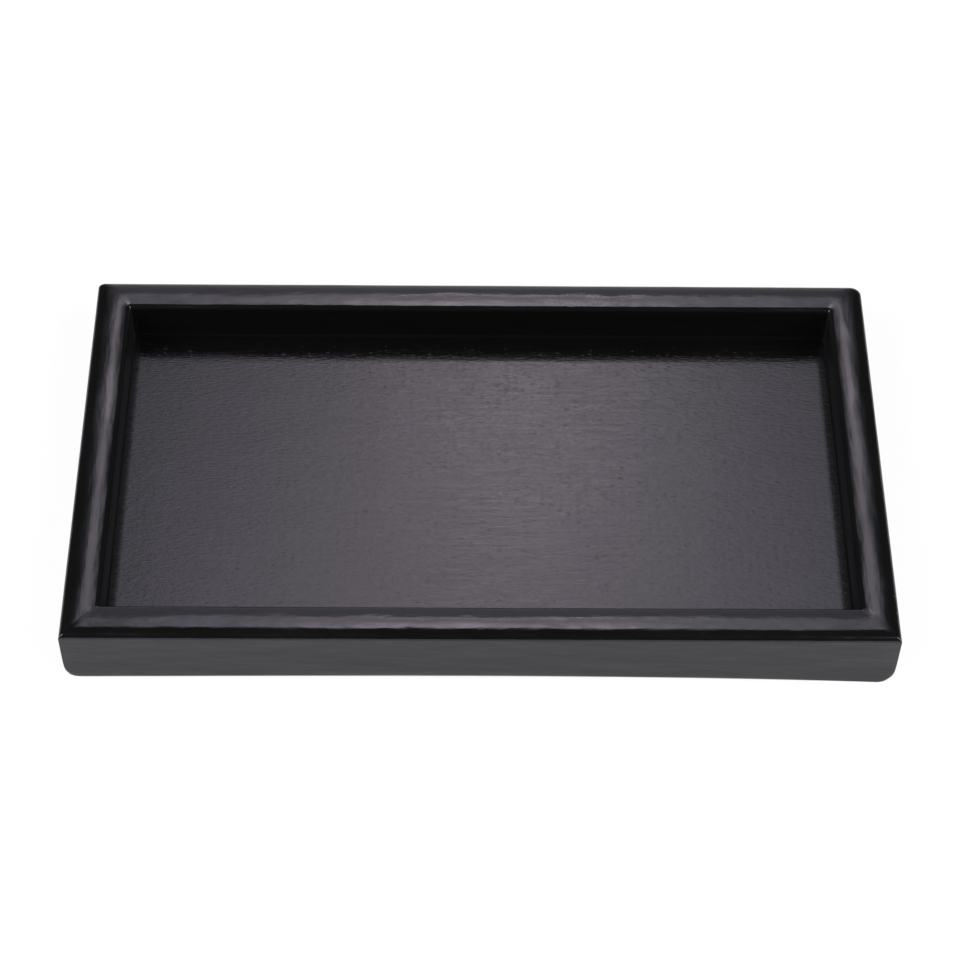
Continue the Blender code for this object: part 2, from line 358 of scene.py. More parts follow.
class StageSettings(bpy.types.PropertyGroup):
    """Table, light and camera."""

    camera_place: bpy.props.FloatVectorProperty(
        name="Camera Place", description="Where the camera stands",
        default=(-0.00762, -0.5566, 0.7275), subtype="TRANSLATION", size=3)
    camera_pitch: bpy.props.FloatProperty(
        name="Camera Pitch", description="How far the camera looks down",
        default=radians(52.22), subtype="ANGLE")
    camera_yaw: bpy.props.FloatProperty(
        name="Camera Yaw", description="How far the camera turns to the left",
        default=radians(-0.788), subtype="ANGLE")
    camera_roll: bpy.props.FloatProperty(
        name="Camera Roll", description="How far the camera leans to the left",
        default=radians(0.889), subtype="ANGLE")
    lens: bpy.props.FloatProperty(
        name="Lens", description="Focal length on a sensor 36 mm wide",
        default=99.85, min=1.0, unit="CAMERA")
    lamp_level: bpy.props.FloatProperty(
        name="Lamp Level", description="Brightness in the middle of the soft box, 1 is white",
        default=2.87, min=0.0)
    lamp_core: bpy.props.FloatProperty(
        name="Lamp Core", description="Brightness that the bulb adds high in the middle",
        default=4.3, min=0.0)
    lamp_low_core: bpy.props.FloatProperty(
        name="Lamp Low Core", description="Brightness added in the middle of its lower edge",
        default=8.6, min=0.0)
    lamp_spread: bpy.props.FloatProperty(
        name="Lamp Spread", description="How far the soft box reaches to each side",
        default=0.30, min=0.01)
    backdrop_level: bpy.props.FloatProperty(
        name="Backdrop Level", description="Brightness of the pale backdrop under the soft box",
        default=0.76, min=0.0)
    room_level: bpy.props.FloatProperty(
        name="Room Level", description="Brightness of the rest of the room",
        default=0.06, min=0.0)
    fill_level: bpy.props.FloatProperty(
        name="Fill Level", description="Brightness of the two lamps beside the camera",
        default=5.0, min=0.0)


def put(tree, kind, inputs=None, **settings):
    """Adds a shader node, sets its properties, and fills or links its inputs."""
    made = tree.nodes.new("ShaderNode" + kind)
    for key, value in settings.items():
        setattr(made, key, value)
    for key, value in (inputs or {}).items():
        if isinstance(value, bpy.types.NodeSocket):
            tree.links.new(value, made.inputs[key])
        else:
            made.inputs[key].default_value = value
    return made


def calc(tree, operation, *values):
    """Output of a Math node."""
    return put(tree, "Math", dict(enumerate(values)), operation=operation).outputs[0]


def product(tree, value, *factors):
    """Output of Math nodes that multiply a value by one factor after the other."""
    for factor in factors:
        value = calc(tree, "MULTIPLY", value, factor)
    return value


def vector_calc(tree, operation, *values):
    """Vector output of a Vector Math node."""
    return put(tree, "VectorMath", dict(enumerate(values)), operation=operation).outputs[0]


def remap(tree, value, low, high, to_low=0.0, to_high=1.0):
    """A value run smoothly from one range to another, and held at its ends."""
    sockets = {"Value": value, "From Min": low, "From Max": high,
               "To Min": to_low, "To Max": to_high}
    return put(tree, "MapRange", sockets, interpolation_type="SMOOTHSTEP").outputs["Result"]


def mix_colours(tree, factor, first, second):
    """Output of a Mix node between two colours."""
    return put(tree, "Mix", {0: factor, 6: first, 7: second}, data_type="RGBA").outputs[2]


def rgba(colour, factor=1.0):
    """A colour times a factor, with full alpha."""
    return (*[channel * factor for channel in colour], 1.0)


def new_group(name, inputs, outputs):
    """A shader node group with named sockets, given as names and kinds."""
    tree = bpy.data.node_groups.new(name, "ShaderNodeTree")
    for label, kind in inputs:
        tree.interface.new_socket(name=label, in_out="INPUT", socket_type="NodeSocket" + kind)
    for label, kind in outputs:
        tree.interface.new_socket(name=label, in_out="OUTPUT", socket_type="NodeSocket" + kind)
    start = tree.nodes.new("NodeGroupInput")
    end = tree.nodes.new("NodeGroupOutput")
    return tree, start, end


def use_group(tree, name, build, inputs):
    """Places a node group in a material, and builds it the first time that it is asked for."""
    made = bpy.data.node_groups.get(name) or build(name)
    return put(tree, "Group", inputs, node_tree=made)


def build_grain(name):
    """Fibres, open pores and slow streaks of the wood, along X of the vector.

    Fibre Length and Fibre Width are the size of one fibre, and Share says how many of the
    cells of that size hold an open pore.
    """
    tree, start, end = new_group(
        name,
        [("Vector", "Vector"), ("Fibre Length", "Float"), ("Fibre Width", "Float"),
         ("Share", "Float")],
        [("Fibres", "Float"), ("Pores", "Float"), ("Streaks", "Float")])
    spacing = put(tree, "CombineXYZ", {0: start.outputs["Fibre Length"],
                                       1: start.outputs["Fibre Width"],
                                       2: start.outputs["Fibre Width"]}).outputs[0]
    cells = vector_calc(tree, "DIVIDE", start.outputs["Vector"], spacing)
    drift = put(tree, "TexNoise", {"Vector": cells, **DRIFT_NOISE})
    shift = vector_calc(tree, "MULTIPLY", drift.outputs["Color"], DRIFT_REACH)
    drifted = vector_calc(tree, "ADD", cells, shift)
    fibres = put(tree, "TexNoise", {"Vector": drifted, **FIBRE_NOISE})
    tree.links.new(fibres.outputs["Fac"], end.inputs["Fibres"])
    pore = put(tree, "TexVoronoi", {"Vector": drifted, "Scale": 1.0})
    near = remap(tree, pore.outputs["Distance"], *PORE_REACHES)
    pick = put(tree, "SeparateColor", {0: pore.outputs["Color"]}).outputs[0]
    opened = remap(tree, pick, start.outputs["Share"], 0.0)
    tree.links.new(product(tree, near, opened), end.inputs["Pores"])
    long_cells = vector_calc(tree, "MULTIPLY", cells, STREAK_STRETCH)
    streaks = put(tree, "TexNoise", {"Vector": long_cells, **STREAK_NOISE})
    tree.links.new(streaks.outputs["Fac"], end.inputs["Streaks"])
    return tree


def build_film(name):
    """Height of a brushed lacquer film: long shallow waves with a fine orange peel on them."""
    tree, start, end = new_group(
        name,
        [("Vector", "Vector"), ("Wave Length", "Float"), ("Peel Size", "Float"),
         ("Peel Share", "Float")],
        [("Height", "Float"), ("Sheen", "Float")])
    stretched = vector_calc(tree, "MULTIPLY", start.outputs["Vector"], BRUSH_STRETCH)
    wave_scale = calc(tree, "DIVIDE", 1.0, start.outputs["Wave Length"])
    waves = put(tree, "TexNoise", {"Vector": stretched, "Scale": wave_scale, **WAVE_NOISE})
    peel_scale = calc(tree, "DIVIDE", 1.0, start.outputs["Peel Size"])
    peel = put(tree, "TexNoise",
               {"Vector": start.outputs["Vector"], "Scale": peel_scale, **PEEL_NOISE})
    peel_part = product(tree, peel.outputs["Fac"], start.outputs["Peel Share"])
    tree.links.new(calc(tree, "ADD", waves.outputs["Fac"], peel_part), end.inputs["Height"])
    tree.links.new(waves.outputs["Fac"], end.inputs["Sheen"])
    return tree


def build_dust(name):
    """Sparse specks of dust on faces that look up. Spacing is in metres."""
    tree, start, end = new_group(
        name,
        [("Vector", "Vector"), ("Normal", "Vector"), ("Spacing", "Float"), ("Share", "Float")],
        [("Dust", "Float")])
    cell_scale = calc(tree, "DIVIDE", 1.0, start.outputs["Spacing"])
    speck = put(tree, "TexVoronoi", {"Vector": start.outputs["Vector"], "Scale": cell_scale})
    parts = put(tree, "SeparateColor", {0: speck.outputs["Color"]})
    reach = calc(tree, "MULTIPLY_ADD", parts.outputs[1], SPECK_RANGE_SHARE, SPECK_SHARE)
    inside = calc(tree, "LESS_THAN", speck.outputs["Distance"], reach)
    chosen = calc(tree, "LESS_THAN", parts.outputs[0], start.outputs["Share"])
    up = put(tree, "SeparateXYZ", {0: start.outputs["Normal"]}).outputs[2]
    facing = remap(tree, up, *DUST_SLOPES)
    shown = product(tree, inside, chosen, facing)
    tree.links.new(shown, end.inputs["Dust"])
    return tree


def build_border(name):
    """Places beside the inner walls.

    Fall runs from 0 inside the floor's border to 1 at the walls, and Near from 0 to 1 on both
    sides of an end wall. The border widens from left to right.
    """
    tree, start, end = new_group(
        name, [("Vector", "Vector"), ("Width", "Float")],
        [("Fall", "Float"), ("Near", "Float")])
    parts = put(tree, "SeparateXYZ", {0: start.outputs["Vector"]})
    from_end = calc(tree, "SUBTRACT", HALF_LENGTH - RAIL_THICKNESS,
                    calc(tree, "ABSOLUTE", parts.outputs[0]))
    from_side = calc(tree, "SUBTRACT", HALF_DEPTH - RAIL_THICKNESS,
                     calc(tree, "ABSOLUTE", parts.outputs[1]))
    from_wall = calc(tree, "MINIMUM", from_end, from_side)
    widening = calc(tree, "MULTIPLY_ADD", parts.outputs[0], BORDER_WIDENING_SHARE / HALF_LENGTH,
                    1.0)
    width = product(tree, widening, start.outputs["Width"])
    inside = calc(tree, "DIVIDE", from_wall, width)
    outside = calc(tree, "MAXIMUM", calc(tree, "SUBTRACT", 1.0, inside), 0.0)
    tree.links.new(product(tree, outside, outside), end.inputs["Fall"])
    off_wall = calc(tree, "ABSOLUTE", from_end)
    tree.links.new(remap(tree, off_wall, start.outputs["Width"], 0.0), end.inputs["Near"])
    return tree


def build_mitre_line(name):
    """The hairline where two rails meet, in the frame of the tray. Width is in metres."""
    tree, start, end = new_group(
        name, [("Vector", "Vector"), ("Width", "Float")], [("Line", "Float")])
    parts = put(tree, "SeparateXYZ", {0: start.outputs["Vector"]})
    from_end = calc(tree, "SUBTRACT", HALF_LENGTH, calc(tree, "ABSOLUTE", parts.outputs[0]))
    from_side = calc(tree, "SUBTRACT", HALF_DEPTH, calc(tree, "ABSOLUTE", parts.outputs[1]))
    off_line = calc(tree, "ABSOLUTE", calc(tree, "SUBTRACT", from_end, from_side))
    tree.links.new(remap(tree, off_line, start.outputs["Width"], 0.0), end.inputs["Line"])
    return tree


def new_material(name):
    """A material whose Principled shader is ready to be linked."""
    material = bpy.data.materials.new(name)
    material.use_nodes = True
    tree = material.node_tree
    return material, tree, tree.nodes["Principled BSDF"]


def grain_vector(tree, quarter_turns):
    """Object coordinates, turned so that X runs along the grain, and the plain ones."""
    plain = put(tree, "TexCoord").outputs["Object"]
    turned = put(tree, "Mapping", {"Vector": plain,
                                   "Rotation": (0.0, 0.0, -quarter_turns * pi / 2)},
                 vector_type="POINT").outputs[0]
    return turned, plain


def clear_film(shader):
    """Gives a lacquer the gloss of its clear film."""
    shader.inputs["IOR"].default_value = FILM_IOR
    shader.inputs["Specular Tint"].default_value = FILM_TINT


def dusty(tree, dust, body):
    """A body colour with the dust over it."""
    cover = product(tree, dust.outputs["Dust"], DUST_STRENGTH)
    return mix_colours(tree, cover, body, DUST_COLOUR)


def uneven_gloss(tree, pattern, mean, span):
    """Roughness that follows a pattern, from below its mean to above it."""
    return remap(tree, pattern, *PATTERN_MIDDLE, mean + span[0], mean + span[1])


def add_relief(tree, shader, height, depth):
    """Turns a height into the shader's normal."""
    bump = put(tree, "Bump", {"Height": height, "Distance": depth})
    tree.links.new(bump.outputs["Normal"], shader.inputs["Normal"])


def lacquer_on_rails(name, quarter_turns):
    """Black brushed lacquer over a wooden rail whose grain runs with its length."""
    rim = bpy.context.scene.tray_rim
    material, tree, shader = new_material(name)
    grain, plain = grain_vector(tree, quarter_turns)
    normal = put(tree, "NewGeometry").outputs["Normal"]
    wood = use_group(tree, "wood_grain", build_grain, {"Vector": grain, **RAIL_GRAIN})
    film = use_group(tree, "lacquer_film", build_film, {"Vector": grain, **RAIL_FILM})
    dust = use_group(tree, "dust_specks", build_dust,
                     {"Vector": plain, "Normal": normal, **RAIL_DUST})
    border = use_group(tree, "wall_border", build_border,
                       {"Vector": plain, "Width": RAIL_WALL_REACH})
    joint = use_group(tree, "mitre_line", build_mitre_line,
                      {"Vector": plain, "Width": MITRE_LINE_WIDTH})
    body = mix_colours(tree, wood.outputs["Streaks"], rgba(rim.colour),
                       rgba(rim.colour, RAIL_WEAR))
    tree.links.new(dusty(tree, dust, body), shader.inputs["Base Color"])
    middling = rim.roughness + SHORT_RAIL_MATT * quarter_turns
    gloss = uneven_gloss(tree, film.outputs["Sheen"], middling, RAIL_GLOSS_SPAN)
    inside = calc(tree, "MULTIPLY_ADD", border.outputs["Near"], SHORT_WALL_MATT * quarter_turns,
                  gloss)
    matt = calc(tree, "MULTIPLY_ADD", dust.outputs["Dust"], RAIL_DUST_MATT, inside)
    tree.links.new(matt, shader.inputs["Roughness"])
    fibrous = calc(tree, "MULTIPLY_ADD", wood.outputs["Fibres"], RAIL_FIBRE_HEIGHT,
                   film.outputs["Height"])
    sunk = calc(tree, "MULTIPLY_ADD", wood.outputs["Pores"], RAIL_PORE_HEIGHT, fibrous)
    creased = calc(tree, "MULTIPLY_ADD", joint.outputs["Line"], MITRE_LINE_HEIGHT, sunk)
    add_relief(tree, shader, creased, RAIL_RELIEF_DEPTH)
    clear_film(shader)
    return material


def lacquer_on_floor():
    """Black satin lacquer on the floor panel, with the pores of the wood open in it."""
    floor = bpy.context.scene.tray_floor
    material, tree, shader = new_material("floor_lacquer")
    grain, plain = grain_vector(tree, 0)
    normal = put(tree, "NewGeometry").outputs["Normal"]
    wood = use_group(tree, "wood_grain", build_grain, {"Vector": grain, **FLOOR_GRAIN})
    film = use_group(tree, "lacquer_film", build_film, {"Vector": grain, **FLOOR_FILM})
    border = use_group(tree, "wall_border", build_border,
                       {"Vector": plain, "Width": floor.border_width})
    dust = use_group(tree, "dust_specks", build_dust,
                     {"Vector": plain, "Normal": normal, **FLOOR_DUST})
    body = mix_colours(tree, wood.outputs["Streaks"], rgba(floor.colour),
                       rgba(floor.colour, FLOOR_WEAR))
    tree.links.new(dusty(tree, dust, body), shader.inputs["Base Color"])
    gloss = uneven_gloss(tree, wood.outputs["Streaks"], floor.roughness, FLOOR_GLOSS_SPAN)
    edged = calc(tree, "MULTIPLY_ADD", border.outputs["Near"], FLOOR_WALL_MATT, gloss)
    matt = calc(tree, "MULTIPLY_ADD", wood.outputs["Pores"], FLOOR_PORE_MATT, edged)
    tree.links.new(matt, shader.inputs["Roughness"])
    grained = calc(tree, "MULTIPLY_ADD", wood.outputs["Pores"], FLOOR_PORE_HEIGHT,
                   wood.outputs["Fibres"])
    filmed = calc(tree, "MULTIPLY_ADD", film.outputs["Height"], FLOOR_FILM_HEIGHT, grained)
    height = calc(tree, "MULTIPLY_ADD", border.outputs["Fall"],
                  -floor.border_fall / floor.grain_depth, filmed)
    add_relief(tree, shader, height, floor.grain_depth)
    clear_film(shader)
    return material


def bare_wood():
    """Bare beech, with fine pores along the height of a spline."""
    wood = bpy.context.scene.tray_splines
    material, tree, shader = new_material("spline_wood")
    plain = put(tree, "TexCoord").outputs["Object"]
    upright = put(tree, "Mapping", {"Vector": plain, "Rotation": (0.0, pi / 2, 0.0)},
                  vector_type="POINT").outputs[0]
    grain = use_group(tree, "wood_grain", build_grain, {"Vector": upright, **SPLINE_GRAIN})
    dark = rgba(wood.colour, SPLINE_SHADE)
    body = mix_colours(tree, grain.outputs["Streaks"], dark, rgba(wood.colour))
    fleck = product(tree, grain.outputs["Pores"], SPLINE_FLECK)
    tree.links.new(mix_colours(tree, fleck, body, dark), shader.inputs["Base Color"])
    rough = uneven_gloss(tree, grain.outputs["Streaks"], wood.roughness, SPLINE_GLOSS_SPAN)
    tree.links.new(rough, shader.inputs["Roughness"])
    add_relief(tree, shader, grain.outputs["Pores"], -SPLINE_PORE_DEPTH)
    return material


def arc(centre, radius, start, end, steps):
    """Points along an arc with both its ends."""
    angles = np.linspace(start, end, steps + 1)
    return [(centre[0] + radius * cos(a), centre[1] + radius * sin(a)) for a in angles]


def line(start, end, steps):
    """Points along a straight run without its ends."""
    shares = np.linspace(0, 1, steps + 1)[1:-1]
    return [(start[0] + (end[0] - start[0]) * share, start[1] + (end[1] - start[1]) * share)
            for share in shares]


def eased(before, corner, after, reach, steps):
    """A soft turn in place of a corner, starting the reach before it and ending after it."""
    turn = [Vector(before), Vector(corner), Vector(after)]
    first = turn[1] + (turn[0] - turn[1]).normalized() * reach
    last = turn[1] + (turn[2] - turn[1]).normalized() * reach
    shares = np.linspace(0, 1, steps + 1)
    return [tuple(first * (1 - s) ** 2 + turn[1] * 2 * s * (1 - s) + last * s ** 2)
            for s in shares]


def crown_section(rim):
    """Top of the section: the inner edge, the crest and the shoulder down to the outer face.

    The three arcs run into each other without a kink. The first starts upright on the inner
    wall, and the last ends at the top of the outer face.
    """
    radius = rim.crest_radius
    crest = (rim.crest_place, RIM_HEIGHT - radius)
    reach = RAIL_THICKNESS - rim.crest_place
    drop = RIM_HEIGHT - rim.wall_height
    edge = (2 * radius * drop - reach ** 2 - drop ** 2) / (2 * (radius - reach))
    inner_turn = asin((reach - edge) / (radius - edge))
    outer_turn = asin((rim.crest_place - rim.shoulder_place) / radius)
    shoulder_top = crest[1] + radius * cos(outer_turn)
    last_turn = 2 * atan2(shoulder_top - rim.face_height, rim.shoulder_place) - outer_turn
    bend = rim.shoulder_place / (sin(last_turn) - sin(outer_turn))
    shoulder = (rim.shoulder_place + bend * sin(outer_turn),
                shoulder_top - bend * cos(outer_turn))
    points = arc((RAIL_THICKNESS - edge, rim.wall_height), edge, 0, pi / 2 - inner_turn,
                 BEND_STEPS)
    points += arc(crest, radius, pi / 2 - inner_turn, pi / 2 + outer_turn, CREST_STEPS)[1:]
    points += arc(shoulder, bend, pi / 2 + outer_turn, pi / 2 + last_turn, BEND_STEPS)[1:]
    return points


def rail_section(rim, foot):
    """Section of the moulding as places across from the outer face and heights.

    It runs round the wood once, from the foot in under the rail, up the groove and the inner
    wall, over the crown and down the outer face. Returns the points and how far each may
    wave, from 0 to 1.
    """
    inner_foot = rim.inner_foot_radius
    lip_height = FLOOR_HEIGHT + BEAD_LIFT
    lip = (RAIL_THICKNESS + rim.bead, lip_height)
    wall_foot = (RAIL_THICKNESS, lip_height + BEAD_SLOPE * rim.bead)
    still = arc((foot, foot), foot, pi, 3 * pi / 2, FOOT_STEPS)[1:]
    still += line((foot, 0), (RAIL_THICKNESS - inner_foot, 0), UNDERSIDE_STEPS)
    still += arc((RAIL_THICKNESS - inner_foot, inner_foot), inner_foot, 3 * pi / 2, 2 * pi,
                 INNER_FOOT_STEPS)
    still += [(RAIL_THICKNESS, GROOVE_FOOT), (GROOVE_BACK, GROOVE_FOOT)]
    still += [(GROOVE_BACK, GROOVE_TOP), (RAIL_THICKNESS, GROOVE_TOP)]
    still += [(RAIL_THICKNESS, lip_height), lip, (lip[0] - LIP_WIDTH, lip[1] + LIP_WIDTH)]
    still += [(wall_foot[0] + LIP_WIDTH, wall_foot[1] - LIP_WIDTH), wall_foot]
    still += [(wall_foot[0], wall_foot[1] + LIP_WIDTH)]
    arris = Vector((0.0, rim.face_height))
    crown = [point for point in crown_section(rim)
             if (Vector(point) - arris).length > rim.edge_ease]
    waved = line(still[-1], crown[0], WALL_STEPS) + crown
    waved += eased(crown[-1], arris, (0.0, foot), rim.edge_ease, EASE_STEPS)
    waved += line((0.0, rim.face_height - rim.edge_ease), (0.0, foot), FACE_STEPS)
    weights = [0.0] * len(still) + [1.0] * len(waved)
    return np.array(still + waved), np.array(weights)


def corner_radius(rim, corner, across, height):
    """Rounding across one mitre at each place of the section."""
    up = np.clip(height / rim.face_height, 0, 1)
    low = (1 - up) ** CORNER_FALL_POWER
    outer = rim.low_corner_radii[corner] * low + rim.top_corner_radii[corner] * (1 - low)
    inner = rim.inner_corner_radii[corner]
    share = np.clip(across / RAIL_THICKNESS, 0, 1)
    over_crest = rim.crest_corner_radius * np.sin(pi * share) * (height > rim.wall_height)
    return outer + (inner - outer) * share + over_crest


def straight_steps(turn):
    """How many steps a rail has between its corners."""
    along = HALF_LENGTH if turn % 2 == 0 else HALF_DEPTH
    return round(2 * along / STATION_STEP)


def rail_stations(turn):
    """Stations of a rail from mitre to mitre, drawn as the front one, without the last.

    Each is the angle that the corner has turned and the share of the straight behind it.
    """
    left = [(angle, 0.0) for angle in np.linspace(5 * pi / 4, 3 * pi / 2, CORNER_STEPS + 1)]
    shares = np.linspace(0, 1, straight_steps(turn) + 1)[1:-1]
    right = [(angle, 1.0) for angle in np.linspace(3 * pi / 2, 7 * pi / 4, CORNER_STEPS + 1)]
    return left + [(3 * pi / 2, share) for share in shares] + right[:-1]


def station_points(rim, turn, angle, share):
    """Section of the rail at one station, in the frame of the tray, and how far it may wave."""
    along, side = (HALF_LENGTH, HALF_DEPTH) if turn % 2 == 0 else (HALF_DEPTH, HALF_LENGTH)
    last = (turn + 1) % len(RING_ORDER)
    at_corner = rim.foot_corner_radii[turn] * (1 - share) + rim.foot_corner_radii[last] * share
    swell = 4 * share * (1 - share)
    section, weights = rail_section(rim, at_corner * (1 - swell) + rim.foot_radius * swell)
    across, height = section.T
    left = corner_radius(rim, turn, across, height)
    right = corner_radius(rim, last, across, height)
    radius = left * (1 - share) + right * share
    x = (across + left - along) * (1 - share) + (along - across - right) * share
    x = x + radius * cos(angle)
    y = across - side + radius * (1 + sin(angle))
    spin = np.array(Matrix.Rotation(turn * pi / 2, 2))
    return np.column_stack([np.column_stack([x, y]) @ spin.T, height]), weights


def ring_normals(grid):
    """Outward directions over a closed grid of section lines and stations."""
    round_section = np.roll(grid, -1, axis=0) - np.roll(grid, 1, axis=0)
    round_rim = np.roll(grid, -1, axis=1) - np.roll(grid, 1, axis=1)
    normals = np.cross(round_section, round_rim)
    return normals / np.linalg.norm(normals, axis=2, keepdims=True)


def soft_wave(point):
    """Depth of the hand-sanded waves at a point, from 0 to 1."""
    slow = noise.noise(Vector(point) * SLOW_WAVE_SCALE)
    quick = noise.noise(Vector(point) * QUICK_WAVE_SCALE + QUICK_WAVE_SHIFT)
    return min(max(0.5 + SLOW_WAVE_SHARE * slow + QUICK_WAVE_SHARE * quick, 0.0), 1.0)


def waved_ring(rim):
    """Points and normals of the whole rim, as section lines by stations."""
    rows = [station_points(rim, turn, angle, share) for turn in range(len(RING_ORDER))
            for angle, share in rail_stations(turn)]
    grid = np.array([points for points, weights in rows]).transpose(1, 0, 2)
    normals = ring_normals(grid)
    depth = np.array([[weight * soft_wave(point) for point, weight in zip(points, weights)]
                      for points, weights in rows]).T
    grid = grid - normals * depth[:, :, None] * rim.wave_depth
    grid[:, :, 2] = np.maximum(grid[:, :, 2], 0.0)
    return grid, ring_normals(grid)


def place_key(point):
    """A place rounded, to find the same point again."""
    return tuple(round(value, PLACE_DIGITS) for value in point)


def rail_mesh(name, grid, normals, first, last):
    """One rail of the ring as a closed solid, and the ring's normal at each of its points."""
    lines = grid.shape[0]
    stations = [station % grid.shape[1] for station in range(first, last + 1)]
    part = grid[:, stations]
    shade = normals[:, stations]
    count = len(stations)
    points = part.transpose(1, 0, 2).reshape(-1, 3)
    faces = []
    for station in range(count - 1):
        for k in range(lines):
            near, far = station * lines, (station + 1) * lines
            after = (k + 1) % lines
            faces.append((near + k, near + after, far + after, far + k))
    faces.append(tuple(range(lines))[::-1])
    faces.append(tuple((count - 1) * lines + k for k in range(lines)))
    mesh = bpy.data.meshes.new(name)
    mesh.from_pydata(points.tolist(), [], faces)
    shades = {place_key(vertex.co): Vector(normal)
              for vertex, normal in zip(mesh.vertices, shade.transpose(1, 0, 2).reshape(-1, 3))}
    return mesh, shades


def add_object(context, name, data):
    """A new object in the scene."""
    made = bpy.data.objects.new(name, data)
    context.scene.collection.objects.link(made)
    return made


def spline_slot(context, name):
    """A cutter for the slot of one spline: its own box, with a gap, open at the foot."""
    turn = Matrix.Rotation(pi / 4, 3, "Z")
    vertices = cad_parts[name].data.vertices
    turned = np.array([turn.transposed() @ vertex.co for vertex in vertices])
    low = turned.min(axis=0) - FIT_GAP
    high = turned.max(axis=0) + FIT_GAP
    low[2] = -SLOT_OVERRUN
    place = turn.to_4x4() @ Matrix.Translation((low + high) / 2)
    form = bmesh.new()
    bmesh.ops.create_cube(form, size=1, matrix=place @ Matrix.Diagonal((*(high - low), 1)))
    mesh = bpy.data.meshes.new(name + "_slot")
    form.to_mesh(mesh)
    form.free()
    return add_object(context, mesh.name, mesh)


def slotted(context, mesh, cutters):
    """The mesh with every slot cut out of it."""
    holder = add_object(context, mesh.name, mesh)
    for cutter in cutters:
        cut = holder.modifiers.new(cutter.name, "BOOLEAN")
        cut.object = cutter
    depsgraph = context.evaluated_depsgraph_get()
    result = bpy.data.meshes.new_from_object(holder.evaluated_get(depsgraph))
    bpy.data.objects.remove(holder)
    bpy.data.meshes.remove(mesh)
    return result


def shade_rail(mesh, shades):
    """Shades the moulding with the ring's own normals, and the cut faces flat."""
    mesh.shade_smooth()
    corner_normals = []
    for polygon in mesh.polygons:
        for k in polygon.vertices:
            shade = shades.get(place_key(mesh.vertices[k].co), polygon.normal)
            follows = shade.dot(polygon.normal) > CUT_FACE_COSINE
            corner_normals.append(shade if follows else polygon.normal)
    mesh.normals_split_custom_set(corner_normals)


class TRAY_OT_rails(bpy.types.Operator):
    """Builds the four lacquered rails of the rim over their frame nodes"""

    bl_idname = "tray.rails"
    bl_label = "Lacquer the Rails"

    def execute(self, context):
        rim = context.scene.tray_rim
        grid, normals = waved_ring(rim)
        materials = (lacquer_on_rails("rail_lacquer_long", 0),
                     lacquer_on_rails("rail_lacquer_short", 1))
        slots = {name: spline_slot(context, name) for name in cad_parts
                 if name.endswith("_spline")}
        first = 0
        for turn, node in enumerate(RING_ORDER):
            last = first + 2 * CORNER_STEPS + straight_steps(turn)
            solid, shades = rail_mesh(node + "_solid", grid, normals, first, last)
            side = node.removesuffix("_rail")
            cutters = [slot for name, slot in slots.items() if side in name.split("_")]
            mesh = slotted(context, solid, cutters)
            shade_rail(mesh, shades)
            rail = add_object(context, node + "_lacquered", mesh)
            mesh.materials.append(materials[turn % 2])
            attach(rail, BODY)
            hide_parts(node)
            first = last
        for slot in slots.values():
            bpy.data.objects.remove(slot)
        return {"FINISHED"}


def soften(obj, width):
    """Rounds the edges of a node for the render, with its own mesh left as it is."""
    bevel = obj.modifiers.new("eased edges", "BEVEL")
    bevel.width = width
    bevel.segments = SOFT_EDGE_FACETS
    bevel.limit_method = "ANGLE"
    bevel.harden_normals = True
    return bevel


def refinish(obj, material):
    """Gives every face of a node one material."""
    obj.data.materials.clear()
    obj.data.materials.append(material)


class TRAY_OT_floor(bpy.types.Operator):
    """Lacquers the floor panel and eases its edges"""

    bl_idname = "tray.floor"
    bl_label = "Lacquer the Floor"

    def execute(self, context):
        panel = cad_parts["floor_panel"]
        refinish(panel, lacquer_on_floor())
        soften(panel, context.scene.tray_floor.edge_ease)
        return {"FINISHED"}


class TRAY_OT_splines(bpy.types.Operator):
    """Gives the four mitre splines their bare wood"""

    bl_idname = "tray.splines"
    bl_label = "Finish the Splines"

    def execute(self, context):
        wood = bare_wood()
        for name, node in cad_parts.items():
            if name.endswith("_spline"):
                refinish(node, wood)
                soften(node, FIT_GAP / 2)
        return {"FINISHED"}


def table_material():
    """A pale table that a camera sees as white, with part of the tray's shadow kept."""
    material, tree, shader = new_material("pale_table")
    shader.inputs["Base Color"].default_value = TABLE_COLOUR
    shader.inputs["Roughness"].default_value = TABLE_ROUGHNESS
    ray = put(tree, "LightPath")
    place = put(tree, "TexCoord").outputs["Object"]
    away = put(tree, "VectorMath", {0: place}, operation="LENGTH").outputs["Value"]
    glow = remap(tree, away, *GLOW_REACHES, NEAR_GLOW, 1.0)
    white = put(tree, "Emission", {"Color": WHITE, "Strength": glow})
    shaded = put(tree, "BsdfDiffuse", {"Color": SHADOW_COLOUR})
    seen = put(tree, "AddShader", {0: white.outputs[0], 1: shaded.outputs[0]})
    both = put(tree, "MixShader", {0: ray.outputs["Is Camera Ray"], 1: shader.outputs[0],
                                   2: seen.outputs[0]})
    tree.links.new(both.outputs[0], tree.nodes["Material Output"].inputs["Surface"])
    return material


def add_table(context):
    """The pale table, just under the tray's feet."""
    mesh = bpy.data.meshes.new("table")
    turns = ((-1, -1), (1, -1), (1, 1), (-1, 1))
    corners = [(x * TABLE_REACH, y * TABLE_REACH, -TABLE_DROP) for x, y in turns]
    mesh.from_pydata(corners, [], [(0, 1, 2, 3)])
    mesh.materials.append(table_material())
    add_object(context, "table", mesh)


